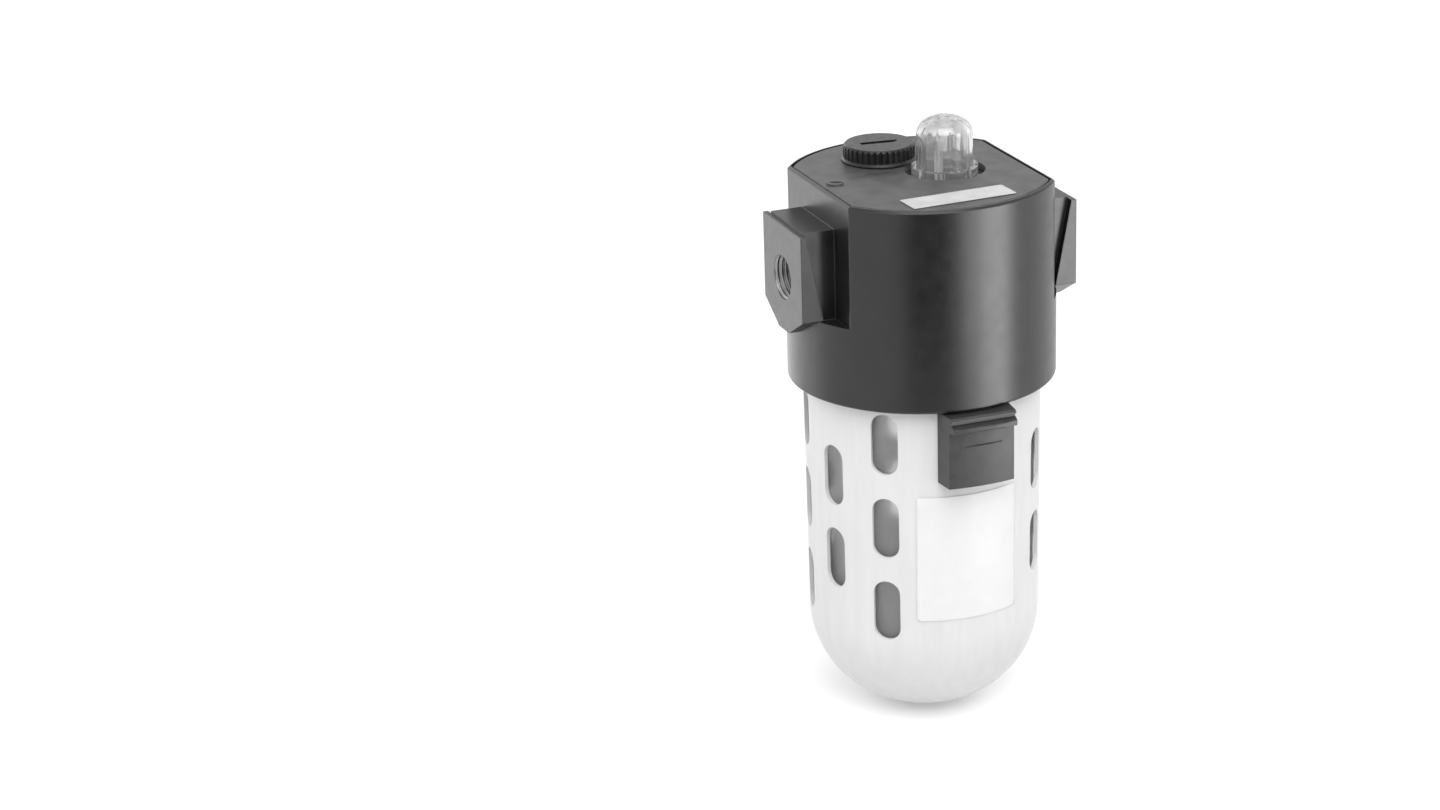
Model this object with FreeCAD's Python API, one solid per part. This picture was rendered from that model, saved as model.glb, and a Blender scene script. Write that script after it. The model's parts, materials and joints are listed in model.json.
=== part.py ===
# Air-line lubricator. Compressed air passes from left to right through the body, lifts oil from the
# bowl, shows it as drops in the clear dome on top and carries it on as mist.
# Millimetres. +Z is up. The origin is the middle of the inlet port's mouth, and +X is the way the
# air flows. The shapes are drawn about the bowl's axis and moved to that origin when they are saved.
import FreeCAD, Part
import math
import os

V = FreeCAD.Vector
UP = V(0, 0, 1)

# Fits and clearances
SLIDE_GAP = 0.3          # between faces that move past each other
FIT = 0.05               # round parts that turn or slide in a hole
SEAL_GAP = 0.05          # round an O-ring in its groove
EPS = 0.5                # how far a cutting tool runs past a face
NEAR = 0.01              # edges this close to a height or a side belong to it

# Body casting
FACE_TO_FACE = 90.6      # over the two flange faces
BODY_R = 41.5
FLATS = 67.2             # across the two flats
BODY_TOP = 27.0          # above the port axis
LEDGE_Z = -11.0          # lower end of the flats
SKIRT_Z = -36.2          # lower edge of the skirt
RIM_WALL = 1.05
RIM_BEVEL = 0.7
CORNER_ROUND = 1.2
SKIRT_ROUND = 0.9

# Wedge flanges that a clamp draws together
FLANGE_W = 30.8
FLANGE_TOP = 16.5
FLANGE_SIDE_Z = -10.2    # where the straight sides end
FLANGE_FOOT_Z = -16.7
FLANGE_FOOT_W = 8.0
FLANGE_TIP = 1.7         # thickness at the top
WEDGE_DEG = 11.0
NECK_W = 26.0            # block that joins a flange to the body
NECK_TOP = 17.1

# Ports and air way
PORT_R = 6.9
PORT_DEPTH = 13.0
PASSAGE_R = 5.5

# Top cover
COVER_T = 5.0
COVER_GAP = 0.7
COVER_BEVEL = 0.3
SEAT_DROP = 2.0          # the two bosses stop this far below the cover's face
MARK_X = -27.7           # small moulded dish beside the inlet
MARK_R = 2.7
MARK_SHIFT = 1.1
MARK_DEPTH = 0.6
MARK_LIP = 0.5           # height of the crescent lip at the dish

# Sight dome
DOME_X = 8.35
DOME_HOLE_R = 12.4
DOME_BOSS_R = 12.0
DOME_FLANGE_R = 10.2
DOME_FLANGE_T = 3.0
DOME_R = 8.65
DOME_WALL = 1.6
DOME_RISE = 17.1         # above the cover's face
DOME_KNUCKLE_R = 5.0
DOME_CROWN_R = 12.0
DOME_NECK_R = 8.3
DOME_NECK_LEN = 10.0
DOME_NOTCHES = 8
DOME_NOTCH_R = 1.1
DOME_SEAL_WIRE = 1.6
SOCKET_Z = 12.0          # floor of the dome's socket

# Fill plug
PLUG_X = -5.3
PLUG_Y = 18.8
PLUG_HEAD_R = 11.1
PLUG_BASE_R = 11.7       # flared foot of the head
PLUG_BASE_T = 0.9
PLUG_BASE_EDGE = 0.3     # upright edge of the foot
PLUG_RISE = 5.4          # above the cover's face
PLUG_CROWN = 0.7         # bevel round the top
PLUG_RIBS = 36
PLUG_RIB_DEPTH = 0.55
PLUG_SLOT_W = 2.4
PLUG_SLOT_DEPTH = 1.9
PLUG_SLOT_DEG = -7.0
COIN_R = 10.5            # of the coin that the slot's round floor fits
PLUG_COLLAR_R = 9.5
PLUG_SHANK_R = 7.5
PLUG_SHANK_LEN = 14.0
PLUG_SHANK_BEVEL = 0.6
PLUG_END_ROOM = 1.0      # below the shank
PLUG_BOSS_GAP = 0.2
PLUG_SEAL_WIRE = 1.4
FILL_R = 5.5             # oil way below the plug

# Flow block: the moulded insert in the middle of the air way
BLOCK_R = 9.6
BLOCK_TOP = 9.0
BLOCK_FLANGE_R = 14.5
BLOCK_FLANGE_T = 2.5
BLOCK_SEAL_WIRE = 1.6
BLOCK_SEAL_Z = -9.5
FLAP_ROOM = 9.2          # square room that the flap swings in
FLAP_ROOM_LEN = 9.1
FLAP_T = 0.8
FLAP_HUB_R = 1.0
FLAP_SIDE_GAP = 0.4
FLAP_PIN_BACK = 2.5      # from the room's mouth
FLAP_PIN_DROP = 1.1      # below the room's ceiling
FLAP_PIN_R = 0.6
NOZZLE_R = 4.5
NOZZLE_LIP = 0.7
NOZZLE_BACK = 1.5        # from the block's outer wall
THROAT_R = 2.2
DRIP_R = 1.2
OIL_R = 0.9
OIL_Y = 6.3              # oil way beside the air way
SCREW_CIRCLE_R = 11.9
SCREW_DEG = 30.0
SCREW_R = 1.5
SCREW_LEN = 9.0
SCREW_HEAD_R = 2.4
SCREW_HEAD_T = 1.8
SCREW_SLOT = 0.8

# Drip seat and drip tube under the dome
DRIP_SEAT_T = 3.0
DRIP_TUBE_R = 1.2
DRIP_TUBE_BORE = 0.6
DRIP_TUBE_Y = 4.4
DRIP_TUBE_TOP = 36.0     # where the bend starts
DRIP_TUBE_TIP = 33.0

# Siphon
ROOF_Z = -14.0           # underside of the body inside the skirt
FITTING_AF = 7.0         # across the flats of the hexagon
FITTING_LEN = 8.0
FITTING_SPIGOT_R = 1.6
FITTING_SPIGOT_LEN = 4.0
CHECK_BALL_R = 1.6
CHECK_ROOM_R = 2.0
CHECK_SEAT_R = 1.0
CHECK_ROOM_LEN = 5.0
SIPHON_R = 2.6
SIPHON_TIP_Z = -132.0
FILTER_R = 4.5
FILTER_LEN = 10.0
FILTER_FOOT_Z = -136.0
FILTER_BEVEL = 1.0
FILTER_BORE_R = 2.0
FILTER_END_T = 1.5

# Valve that lets air into the bowl
VALVE_X = -20.0
VALVE_SEAT_R = 1.4
VALVE_ROOM_R = 2.8
VALVE_ROOM_TOP = -6.5
VALVE_BALL_R = 2.2
VALVE_CLIP_R = 3.6
VALVE_CLIP_T = 1.4
VALVE_CLIP_HOLE_R = 1.2
VALVE_SPRING_R = 1.3
VALVE_SPRING_WIRE_R = 0.25
VALVE_SPRING_TURNS = 3

# Bowl guard
GUARD_INSET = 4.6        # from the body's outside to the guard's, at the skirt's lower edge
GUARD_TAPER = 0.7        # how far the wall comes in down to the round end
GUARD_END_Z = -146.7
GUARD_WALL = 1.3
GUARD_TOP_Z = -26.2
KNUCKLE_TURN_IN = 4.2    # the round end's knuckle is this much tighter than the wall
CROWN_SPREAD = 3.8       # and its crown this much flatter
GUARD_HOLE_R = 8.0
SLOT_W = 8.5
SLOT_L = 19.6
SLOT_PITCH = 27.4
SLOT_TOP_Z = -48.2       # middle of the highest slots
SLOT_COLUMNS = 12
SLOT_SET_DEG = 3.2       # the pattern stands this far round from the latch
LUGS = 3
LUG_DEG = 60.0           # first lug, round from the front
LUG_W = 10.0
LUG_T = 3.6
LUG_REACH = 2.4
LUG_TOP_Z = -29.1
BOWL_TURN_DEG = 30.0

# Bowl
BOWL_GAP = 0.5           # between guard and bowl
BOWL_WALL = 3.0
BOWL_SHOULDER_T = 1.9
BOWL_SHOULDER_W = 1.9    # step from the shoulder in to the neck
BOWL_NECK_WALL = 5.4
BOWL_NECK_TOP_Z = -15.0
BOWL_SEAL_WIRE = 2.6
BOWL_SEAL_Z = -18.8
SOCKET_GAP = 0.7         # between guard and skirt

# Latch
LATCH_W = 21.2           # across the front face
LATCH_BACK_W = 22.4      # across the sides where they meet the guard
LATCH_SHIFT = 0.8        # the block stands this far off the tongue's middle
LATCH_PROUD = 2.1        # front face, out from the body's
LATCH_REACH_IN = 3.0     # how far its back would run into the guard, before it is cut to fit
LATCH_TOP_Z = -36.8
LATCH_FOOT_Z = -59.6
LATCH_WALL = 1.7
LATCH_FACE_R = 60.0      # the front face is slightly crowned
LATCH_TRAVEL = 5.0
THUMB_REACH = 2.8
INDENT_W = 12.6
INDENT_Z = -46.3
INDENT_H = 0.6
INDENT_DEPTH = 0.5
TONGUE_W = 12.4
TONGUE_T = 1.6
TONGUE_INSET = 0.2       # from the skirt's bore
TONGUE_TOP_Z = -32.4
RAIL_HEAD_W = 12.0
RAIL_HEAD_T = 1.6
RAIL_STEM_W = 7.0
RAIL_COVER = 2.6         # from the latch's front face in to the rail's head
RAIL_TOP_Z = -47.5
RAIL_FOOT_Z = -57.4
THUMB_RIDGES = [         # out from the front face, and down from the latch's top
    (0.2, 0.0), (0.9, 0.6), (1.0, 1.0), (-0.2, 1.3), (0.0, 2.1), (1.2, 2.5), (2.4, 2.9),
    (THUMB_REACH, 3.4), (THUMB_REACH, 3.9), (2.2, 4.4), (0.0, 4.6)]
SPRING_R = 1.7
SPRING_WIRE_R = 0.3
SPRING_TURNS = 5

# Worked out from the above
FLANGE_X = FACE_TO_FACE / 2
FLAT_X = FLATS / 2
COVER_FLOOR_Z = BODY_TOP - COVER_T
SEAT_Z = BODY_TOP - SEAT_DROP
GUARD_R = BODY_R - GUARD_INSET
GUARD_END_R = GUARD_R - GUARD_TAPER
END_KNUCKLE_R = GUARD_END_R - KNUCKLE_TURN_IN
END_CROWN_R = GUARD_END_R + CROWN_SPREAD
BOWL_NECK_R = GUARD_R - BOWL_SHOULDER_W
LATCH_FRONT = BODY_R + LATCH_PROUD
LATCH_BACK = GUARD_R - LATCH_REACH_IN
RAIL_OUT = LATCH_FRONT - RAIL_COVER
FLAP_PIN_LEN = 2 * (math.sqrt(BLOCK_R ** 2 - (BLOCK_R - FLAP_PIN_BACK + FLAP_PIN_R) ** 2) - FIT)
SKIRT_BORE_R = GUARD_R + SOCKET_GAP
NECK_BORE_R = BOWL_NECK_R + SLIDE_GAP
SHOULDER_TOP_Z = GUARD_TOP_Z + BOWL_SHOULDER_T
STEP_Z = SHOULDER_TOP_Z + SLIDE_GAP
LUG_R = GUARD_R + LUG_REACH
GROOVE_R = LUG_R + SLIDE_GAP
SEATED_Z = SEAT_Z + SLIDE_GAP
PLUG_HOLE_R = PLUG_COLLAR_R + SLIDE_GAP
PLUG_BOSS_R = PLUG_HOLE_R - PLUG_BOSS_GAP
TONGUE_R0 = SKIRT_BORE_R + TONGUE_INSET
TONGUE_R1 = TONGUE_R0 + TONGUE_T
VALVE_BALL_Z = VALVE_ROOM_TOP - math.sqrt(VALVE_BALL_R ** 2 - VALVE_SEAT_R ** 2) - FIT
CHECK_FLOOR_Z = ROOF_Z - BLOCK_FLANGE_T - CHECK_ROOM_LEN
CHECK_BALL_Z = CHECK_FLOOR_Z + math.sqrt(CHECK_BALL_R ** 2 - CHECK_SEAT_R ** 2) + FIT


# Helpers

def cyl(r, z0, z1, x=0.0, y=0.0):
    """Upright cylinder between two heights."""
    return Part.makeCylinder(r, z1 - z0, V(x, y, z0))


def cyl_x(r, x0, x1, y=0.0, z=0.0):
    """Cylinder along X."""
    return Part.makeCylinder(r, x1 - x0, V(x0, y, z), V(1, 0, 0))


def box(x0, x1, y0, y1, z0, z1):
    """Box between its corners."""
    return Part.makeBox(x1 - x0, y1 - y0, z1 - z0, V(x0, y0, z0))


def ring(r0, r1, z0, z1, x=0.0, y=0.0):
    """Upright tube between two heights."""
    return cyl(r1, z0, z1, x, y).cut(cyl(r0, z0 - EPS, z1 + EPS, x, y))


def torus(major, wire, z, x=0.0, y=0.0):
    """O-ring of the given wire thickness."""
    return Part.makeTorus(major, wire / 2, V(x, y, z))


def prism(points, direction):
    """Straight prism over a closed outline of points."""
    wire = Part.makePolygon([V(*p) for p in points] + [V(*points[0])])
    return Part.Face(wire).extrude(V(*direction))


def lathe(start, moves, x=0.0, y=0.0):
    """Turned solid. A move is (r, z) for a line, or (r_mid, z_mid, r_end, z_end) for an arc."""
    def at(r, z):
        return V(x + r, y, z)
    edges = []
    here = start
    for move in list(moves) + [start]:
        end = move[-2:]
        if len(move) == 4:
            edges.append(Part.Arc(at(*here), at(move[0], move[1]), at(*end)).toShape())
        else:
            edges.append(Part.makeLine(at(*here), at(*end)))
        here = end
    face = Part.Face(Part.Wire(edges))
    return face.revolve(V(x, y, 0), UP, 360)


def turned(shape, degrees, x=0.0, y=0.0):
    """Copy turned about an upright line."""
    copy = shape.copy()
    copy.rotate(V(x, y, 0), UP, degrees)
    return copy


def joined(shapes):
    """One clean solid out of several that meet."""
    whole = shapes[0].multiFuse(shapes[1:]) if len(shapes) > 1 else shapes[0]
    return whole.removeSplitter()


def spring(radius, wire_r, turns, z0, z1, x=0.0, y=0.0):
    """Round-wire compression spring that just fits between two heights."""
    height = z1 - z0 - 2 * wire_r
    helix = Part.makeHelix(height / turns, height, radius)
    section = Part.Wire(Part.makeCircle(wire_r, V(radius, 0, 0), V(0, 1, 0)))
    coil = Part.Wire(helix.Edges).makePipeShell([section], True, True)
    coil.translate(V(x, y, z0 + wire_r))
    return coil


def end_curve(r_wall, foot_z, knuckle, crown):
    """Round end of a cup: heights and arc points from the wall down to the middle of the end."""
    reach = r_wall - knuckle
    centre_z = foot_z + crown
    knuckle_z = centre_z - math.sqrt((crown - knuckle) ** 2 - reach ** 2)
    slope = math.atan2(knuckle_z - centre_z, reach)
    meet = (crown * math.cos(slope), centre_z + crown * math.sin(slope))
    half = slope / 2
    knuckle_mid = (reach + knuckle * math.cos(half), knuckle_z + knuckle * math.sin(half))
    down = (slope - math.pi / 2) / 2
    crown_mid = (crown * math.cos(down), centre_z + crown * math.sin(down))
    return knuckle_z, knuckle_mid, meet, crown_mid


def guard_end(inset):
    """Round end of the guard's outer surface, moved in by inset."""
    return end_curve(GUARD_END_R - inset, GUARD_END_Z + inset, END_KNUCKLE_R - inset, END_CROWN_R - inset)


def guard_r(inset, z):
    """Radius of the guard's tapered outer surface at a height, moved in by inset."""
    start_z = guard_end(inset)[0]
    taper = (GUARD_R - GUARD_END_R) / (SKIRT_Z - start_z)
    return GUARD_END_R - inset + taper * (z - start_z)


def cup(inset, top_z):
    """Solid inside the guard's outer surface, moved in by inset and cut off at top_z."""
    end_r = GUARD_END_R - inset
    foot_z = GUARD_END_Z + inset
    start_z, knuckle_mid, meet, crown_mid = guard_end(inset)
    return lathe((0, top_z), [
        (guard_r(inset, top_z), top_z),
        (end_r, start_z),
        knuckle_mid + meet,
        crown_mid + (0, foot_z)])


def outline(inset, z0, z1):
    """Prism with the body's plan, a circle cut by two flats, moved in by inset."""
    half = FLAT_X - inset
    whole = cyl(BODY_R - inset, z0, z1)
    return whole.common(box(-half, half, -BODY_R, BODY_R, z0, z1))


# Body

def port_side():
    """Flange, wedge and neck of one port, on the outlet side."""
    half = FLANGE_W / 2
    foot = FLANGE_FOOT_W / 2
    shield = prism([
        (FLANGE_X, -half, FLANGE_TOP), (FLANGE_X, half, FLANGE_TOP),
        (FLANGE_X, half, FLANGE_SIDE_Z), (FLANGE_X, foot, FLANGE_FOOT_Z),
        (FLANGE_X, -foot, FLANGE_FOOT_Z), (FLANGE_X, -half, FLANGE_SIDE_Z)], (-FLANGE_X / 2, 0, 0))
    tip_x = FLANGE_X - FLANGE_TIP
    foot_x = tip_x - math.tan(math.radians(WEDGE_DEG)) * (FLANGE_TOP - FLANGE_FOOT_Z)
    wedge = prism([
        (FLANGE_X, -half, FLANGE_TOP), (tip_x, -half, FLANGE_TOP),
        (foot_x, -half, FLANGE_FOOT_Z), (FLANGE_X, -half, FLANGE_FOOT_Z)], (0, FLANGE_W, 0))
    neck = box(FLAT_X - EPS, tip_x, -NECK_W / 2, NECK_W / 2, LEDGE_Z - EPS, NECK_TOP)
    return [shield.common(wedge), neck]


def port_bore():
    """Threaded mouth and air way of one port, on the outlet side."""
    bore = cyl_x(PORT_R, FLANGE_X - PORT_DEPTH, FLANGE_X + EPS)
    way = cyl_x(PASSAGE_R, 0, FLANGE_X - PORT_DEPTH + EPS)
    return joined([bore, way])


def mirrored_x(shape):
    """The same shape on the inlet side."""
    return shape.mirror(V(0, 0, 0), V(1, 0, 0))


def lug_ring(r0, r1, z0, z1, width, start_deg):
    """Lugs, or the gaps that they pass, spaced evenly round the bowl's axis."""
    pieces = []
    for k in range(LUGS):
        bar = box(-width / 2, width / 2, -r1 - EPS, 0, z0, z1)
        arc = ring(r0, r1, z0, z1).common(bar)
        pieces.append(turned(arc, start_deg + k * 360 / LUGS))
    return pieces


def bayonet_cuts():
    """Groove that the guard's lugs turn in, and the gaps that let them in."""
    groove_top = LUG_TOP_Z + SLIDE_GAP
    groove_foot = LUG_TOP_Z - LUG_T - SLIDE_GAP
    groove = ring(SKIRT_BORE_R - EPS, GROOVE_R, groove_foot, groove_top)
    gap_w = LUG_W + 4 * SLIDE_GAP
    gaps = lug_ring(SKIRT_BORE_R - EPS, GROOVE_R, SKIRT_Z - EPS, groove_top, gap_w,
                    LUG_DEG + BOWL_TURN_DEG)
    return [groove] + gaps


def tongue_notch():
    """Notch for the latch's tongue. Its ramp lets the tongue come down as the bowl turns."""
    top_z = TONGUE_TOP_Z + SLIDE_GAP
    half = TONGUE_W / 2 + SLIDE_GAP
    start = math.degrees(math.asin(TONGUE_W / 2 / TONGUE_R1))
    turn = (TONGUE_TOP_Z - SKIRT_Z) / LATCH_TRAVEL * BOWL_TURN_DEG
    ramp_x = TONGUE_R1 * math.sin(math.radians(start + turn)) + 4 * SLIDE_GAP
    fall = (top_z - SKIRT_Z) / (ramp_x - half)
    foot_z = SKIRT_Z - EPS
    shape = prism([
        (-half, -BODY_R, foot_z), (-half, -BODY_R, top_z), (half, -BODY_R, top_z),
        (ramp_x + EPS / fall, -BODY_R, foot_z)], (0, BODY_R, 0))
    return shape.common(ring(SKIRT_BORE_R - EPS, TONGUE_R1 + SLIDE_GAP, foot_z, top_z + EPS))


def gland(shaft_r, wire, x, y):
    """Recess in a boss for the O-ring round a screwed shaft."""
    return cyl(shaft_r + wire + 2 * SEAL_GAP, SEATED_Z - wire - 2 * SEAL_GAP, BODY_TOP, x, y)


def seated_seal(shaft_r, wire, x, y):
    """O-ring in that recess, under the shaft's flange."""
    return torus(shaft_r + SEAL_GAP + wire / 2, wire, SEATED_Z - SEAL_GAP - wire / 2, x, y)


def body():
    """The casting: flats, skirt, two wedge flanges, sockets, ports and inner ways."""
    upper = outline(0, LEDGE_Z - EPS, BODY_TOP)
    corners = [e for e in upper.Edges if abs(e.tangentAt(e.FirstParameter).z) > 1 - NEAR
               and abs(abs(e.Vertexes[0].X) - FLAT_X) < NEAR and e.Length > EPS]
    upper = upper.makeFillet(CORNER_ROUND, corners)
    rim = [e for e in upper.Edges if abs(e.CenterOfMass.z - BODY_TOP) < NEAR]
    upper = upper.makeChamfer(RIM_BEVEL, rim)
    lower = cyl(BODY_R, SKIRT_Z, LEDGE_Z)
    edge = [e for e in lower.Edges if e.BoundBox.ZMax < SKIRT_Z + NEAR and e.Closed]
    lower = lower.makeFillet(SKIRT_ROUND, edge)
    sides = port_side()
    solid = joined([upper, lower] + sides + [mirrored_x(s) for s in sides])

    pocket = outline(RIM_WALL, COVER_FLOOR_Z, BODY_TOP + EPS)
    bosses = [cyl(DOME_BOSS_R, COVER_FLOOR_Z - EPS, SEAT_Z, DOME_X),
              cyl(PLUG_BOSS_R, COVER_FLOOR_Z - EPS, SEAT_Z, PLUG_X, PLUG_Y)]
    solid = joined([solid.cut(pocket)] + bosses)

    socket = [cyl(SKIRT_BORE_R, SKIRT_Z - EPS, STEP_Z), cyl(NECK_BORE_R, STEP_Z - EPS, ROOF_Z)]
    ways = [port_bore(), mirrored_x(port_bore())]
    dome_hole = [cyl(DOME_NECK_R + FIT, SOCKET_Z, BODY_TOP, DOME_X),
                 gland(DOME_NECK_R, DOME_SEAL_WIRE, DOME_X, 0)]
    plug_foot = SEAT_Z - PLUG_SHANK_LEN - PLUG_END_ROOM
    plug_hole = [cyl(PLUG_SHANK_R + FIT, plug_foot, BODY_TOP, PLUG_X, PLUG_Y),
                 cyl(FILL_R, ROOF_Z - EPS, SEAT_Z, PLUG_X, PLUG_Y),
                 gland(PLUG_SHANK_R, PLUG_SEAL_WIRE, PLUG_X, PLUG_Y)]
    block_hole = [cyl(BLOCK_R + FIT, ROOF_Z - EPS, BLOCK_TOP + FIT, DOME_X),
                  cyl(DRIP_R, BLOCK_TOP, SOCKET_Z + EPS, DOME_X),
                  cyl(OIL_R, BLOCK_TOP, SOCKET_Z + EPS, DOME_X, OIL_Y)]
    valve_hole = [cyl(VALVE_SEAT_R, VALVE_ROOM_TOP - EPS, 0, VALVE_X),
                  cyl(VALVE_ROOM_R, ROOF_Z - EPS, VALVE_ROOM_TOP, VALVE_X),
                  cyl(VALVE_CLIP_R, ROOF_Z - EPS, ROOF_Z + VALVE_CLIP_T, VALVE_X)]
    screws = [cyl(SCREW_R, ROOF_Z - EPS, ROOF_Z - BLOCK_FLANGE_T + SCREW_LEN, x, y)
              for x, y in screw_places()]
    tools = socket + ways + dome_hole + plug_hole + block_hole + valve_hole + screws
    return solid.cut(joined(tools)).cut(joined(bayonet_cuts() + [tongue_notch()])).removeSplitter()


def screw_places():
    """Middle of each screw that holds the flow block."""
    a = math.radians(SCREW_DEG)
    y = -SCREW_CIRCLE_R * math.sin(a)
    x = SCREW_CIRCLE_R * math.cos(a)
    return [(DOME_X - x, y), (DOME_X + x, y)]


def top_cover():
    """Moulded cover let into the rim, open over the two bosses, with a small dish and its crescent lip."""
    plate = outline(RIM_WALL + COVER_GAP, COVER_FLOOR_Z, BODY_TOP)
    rim = [e for e in plate.Edges if abs(e.CenterOfMass.z - BODY_TOP) < NEAR]
    plate = plate.makeChamfer(COVER_BEVEL, rim)
    floor = BODY_TOP - MARK_DEPTH
    lip_top = BODY_TOP + MARK_LIP
    dish = cyl(MARK_R, floor, BODY_TOP + EPS, MARK_X)
    lip = cyl(MARK_R, floor, lip_top, MARK_X)
    lip = lip.cut(cyl(MARK_R, floor - EPS, lip_top + EPS, MARK_X + MARK_SHIFT, MARK_SHIFT))
    holes = [cyl(DOME_HOLE_R, COVER_FLOOR_Z - EPS, BODY_TOP + EPS, DOME_X),
             cyl(PLUG_HOLE_R, COVER_FLOOR_Z - EPS, BODY_TOP + EPS, PLUG_X, PLUG_Y)]
    return plate.cut(joined(holes)).cut(dish).fuse(lip).removeSplitter()


# Sight dome and what is under it

def sight_dome():
    """Clear dome with a notched flange and a screwed neck, open below."""
    flange_z = SEATED_Z
    flange_top = flange_z + DOME_FLANGE_T
    top_z = BODY_TOP + DOME_RISE
    foot_z = flange_z - DOME_NECK_LEN

    def bell(inset, low_z):
        wall_z, knuckle_mid, meet, crown_mid = end_curve(
            DOME_R - inset, 0, DOME_KNUCKLE_R - inset, DOME_CROWN_R - inset)
        crest = top_z - inset

        def flip(point):
            return (point[0], crest - point[1])
        return lathe((0, low_z), [
            (DOME_R - inset, low_z),
            (DOME_R - inset, crest - wall_z),
            flip(knuckle_mid) + flip(meet),
            flip(crown_mid) + (0, crest)], DOME_X)
    outside = [bell(0, flange_z), cyl(DOME_FLANGE_R, flange_z, flange_top, DOME_X),
               cyl(DOME_NECK_R, foot_z, flange_z, DOME_X)]
    solid = joined(outside).cut(bell(DOME_WALL, foot_z - EPS))
    notches = []
    for k in range(DOME_NOTCHES):
        notch = cyl(DOME_NOTCH_R, flange_z - EPS, flange_top + EPS, DOME_X + DOME_FLANGE_R)
        notches.append(turned(notch, (k + 0.5) * 360 / DOME_NOTCHES, DOME_X))
    return solid.cut(Part.makeCompound(notches))


def sight_dome_seal():
    """O-ring under the dome's flange."""
    return seated_seal(DOME_NECK_R, DOME_SEAL_WIRE, DOME_X, 0)


def drip_seat():
    """Disc at the foot of the dome, with the drip hole and the way to the drip tube."""
    r = DOME_NECK_R - FIT
    disc = cyl(r, SOCKET_Z, SOCKET_Z + DRIP_SEAT_T, DOME_X)
    top = SOCKET_Z + DRIP_SEAT_T
    funnel = Part.makeCone(DRIP_R, 2 * DRIP_R, DRIP_R, V(DOME_X, 0, top - DRIP_R))
    groove = box(DOME_X - OIL_R, DOME_X + OIL_R, DRIP_TUBE_Y, OIL_Y, SOCKET_Z - EPS, SOCKET_Z + OIL_R)
    cuts = [cyl(DRIP_R, SOCKET_Z - EPS, top + EPS, DOME_X), funnel, groove,
            cyl(OIL_R, SOCKET_Z - EPS, SOCKET_Z + OIL_R, DOME_X, OIL_Y),
            cyl(DRIP_TUBE_R, SOCKET_Z - EPS, top + EPS, DOME_X, DRIP_TUBE_Y)]
    return disc.cut(joined(cuts))


def drip_tube():
    """Small tube that rises into the dome and bends over, so that the drops can be seen."""
    low_z = SOCKET_Z + OIL_R
    bend = DRIP_TUBE_Y / 2
    rise = Part.makeLine(V(DOME_X, DRIP_TUBE_Y, low_z), V(DOME_X, DRIP_TUBE_Y, DRIP_TUBE_TOP))
    over = Part.Arc(V(DOME_X, DRIP_TUBE_Y, DRIP_TUBE_TOP), V(DOME_X, bend, DRIP_TUBE_TOP + bend),
                    V(DOME_X, 0, DRIP_TUBE_TOP)).toShape()
    fall = Part.makeLine(V(DOME_X, 0, DRIP_TUBE_TOP), V(DOME_X, 0, DRIP_TUBE_TIP))
    path = Part.Wire([rise, over, fall])

    def rod(r):
        section = Part.Wire(Part.makeCircle(r, V(DOME_X, DRIP_TUBE_Y, low_z), UP))
        return path.makePipeShell([section], True, False)
    return rod(DRIP_TUBE_R).cut(rod(DRIP_TUBE_BORE))


# Fill plug

def fill_plug():
    """Ribbed knob with a coin slot, collar and screwed shank."""
    foot_z = BODY_TOP + SLIDE_GAP
    top_z = BODY_TOP + PLUG_RISE
    base_z = foot_z + PLUG_BASE_T
    shank_z = SEAT_Z - PLUG_SHANK_LEN
    solid = lathe((0, shank_z), [
        (PLUG_SHANK_R - PLUG_SHANK_BEVEL, shank_z), (PLUG_SHANK_R, shank_z + PLUG_SHANK_BEVEL),
        (PLUG_SHANK_R, SEATED_Z), (PLUG_COLLAR_R, SEATED_Z), (PLUG_COLLAR_R, foot_z), (PLUG_BASE_R, foot_z),
        (PLUG_BASE_R, foot_z + PLUG_BASE_EDGE), (PLUG_HEAD_R, base_z), (PLUG_HEAD_R, top_z - PLUG_CROWN),
        (PLUG_HEAD_R - PLUG_CROWN, top_z), (0, top_z)], PLUG_X, PLUG_Y)
    half = math.radians(360 / PLUG_RIBS) / 4 * PLUG_HEAD_R
    deep = PLUG_HEAD_R - PLUG_RIB_DEPTH
    out = PLUG_HEAD_R + EPS
    flare = half * (out - deep) / PLUG_RIB_DEPTH
    groove = prism([
        (PLUG_X + deep, PLUG_Y - half / 4, base_z), (PLUG_X + out, PLUG_Y - flare, base_z),
        (PLUG_X + out, PLUG_Y + flare, base_z), (PLUG_X + deep, PLUG_Y + half / 4, base_z)],
        (0, 0, top_z + EPS - base_z))
    grooves = [turned(groove, k * 360 / PLUG_RIBS, PLUG_X, PLUG_Y) for k in range(PLUG_RIBS)]
    coin_at = V(PLUG_X, PLUG_Y - PLUG_SLOT_W / 2, top_z - PLUG_SLOT_DEPTH + COIN_R)
    coin = turned(Part.makeCylinder(COIN_R, PLUG_SLOT_W, coin_at, V(0, 1, 0)), PLUG_SLOT_DEG, PLUG_X, PLUG_Y)
    return solid.cut(Part.makeCompound(grooves)).cut(coin)


def fill_plug_seal():
    """O-ring under the plug's collar."""
    return seated_seal(PLUG_SHANK_R, PLUG_SEAL_WIRE, PLUG_X, PLUG_Y)


# Flow block and what it carries

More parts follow.
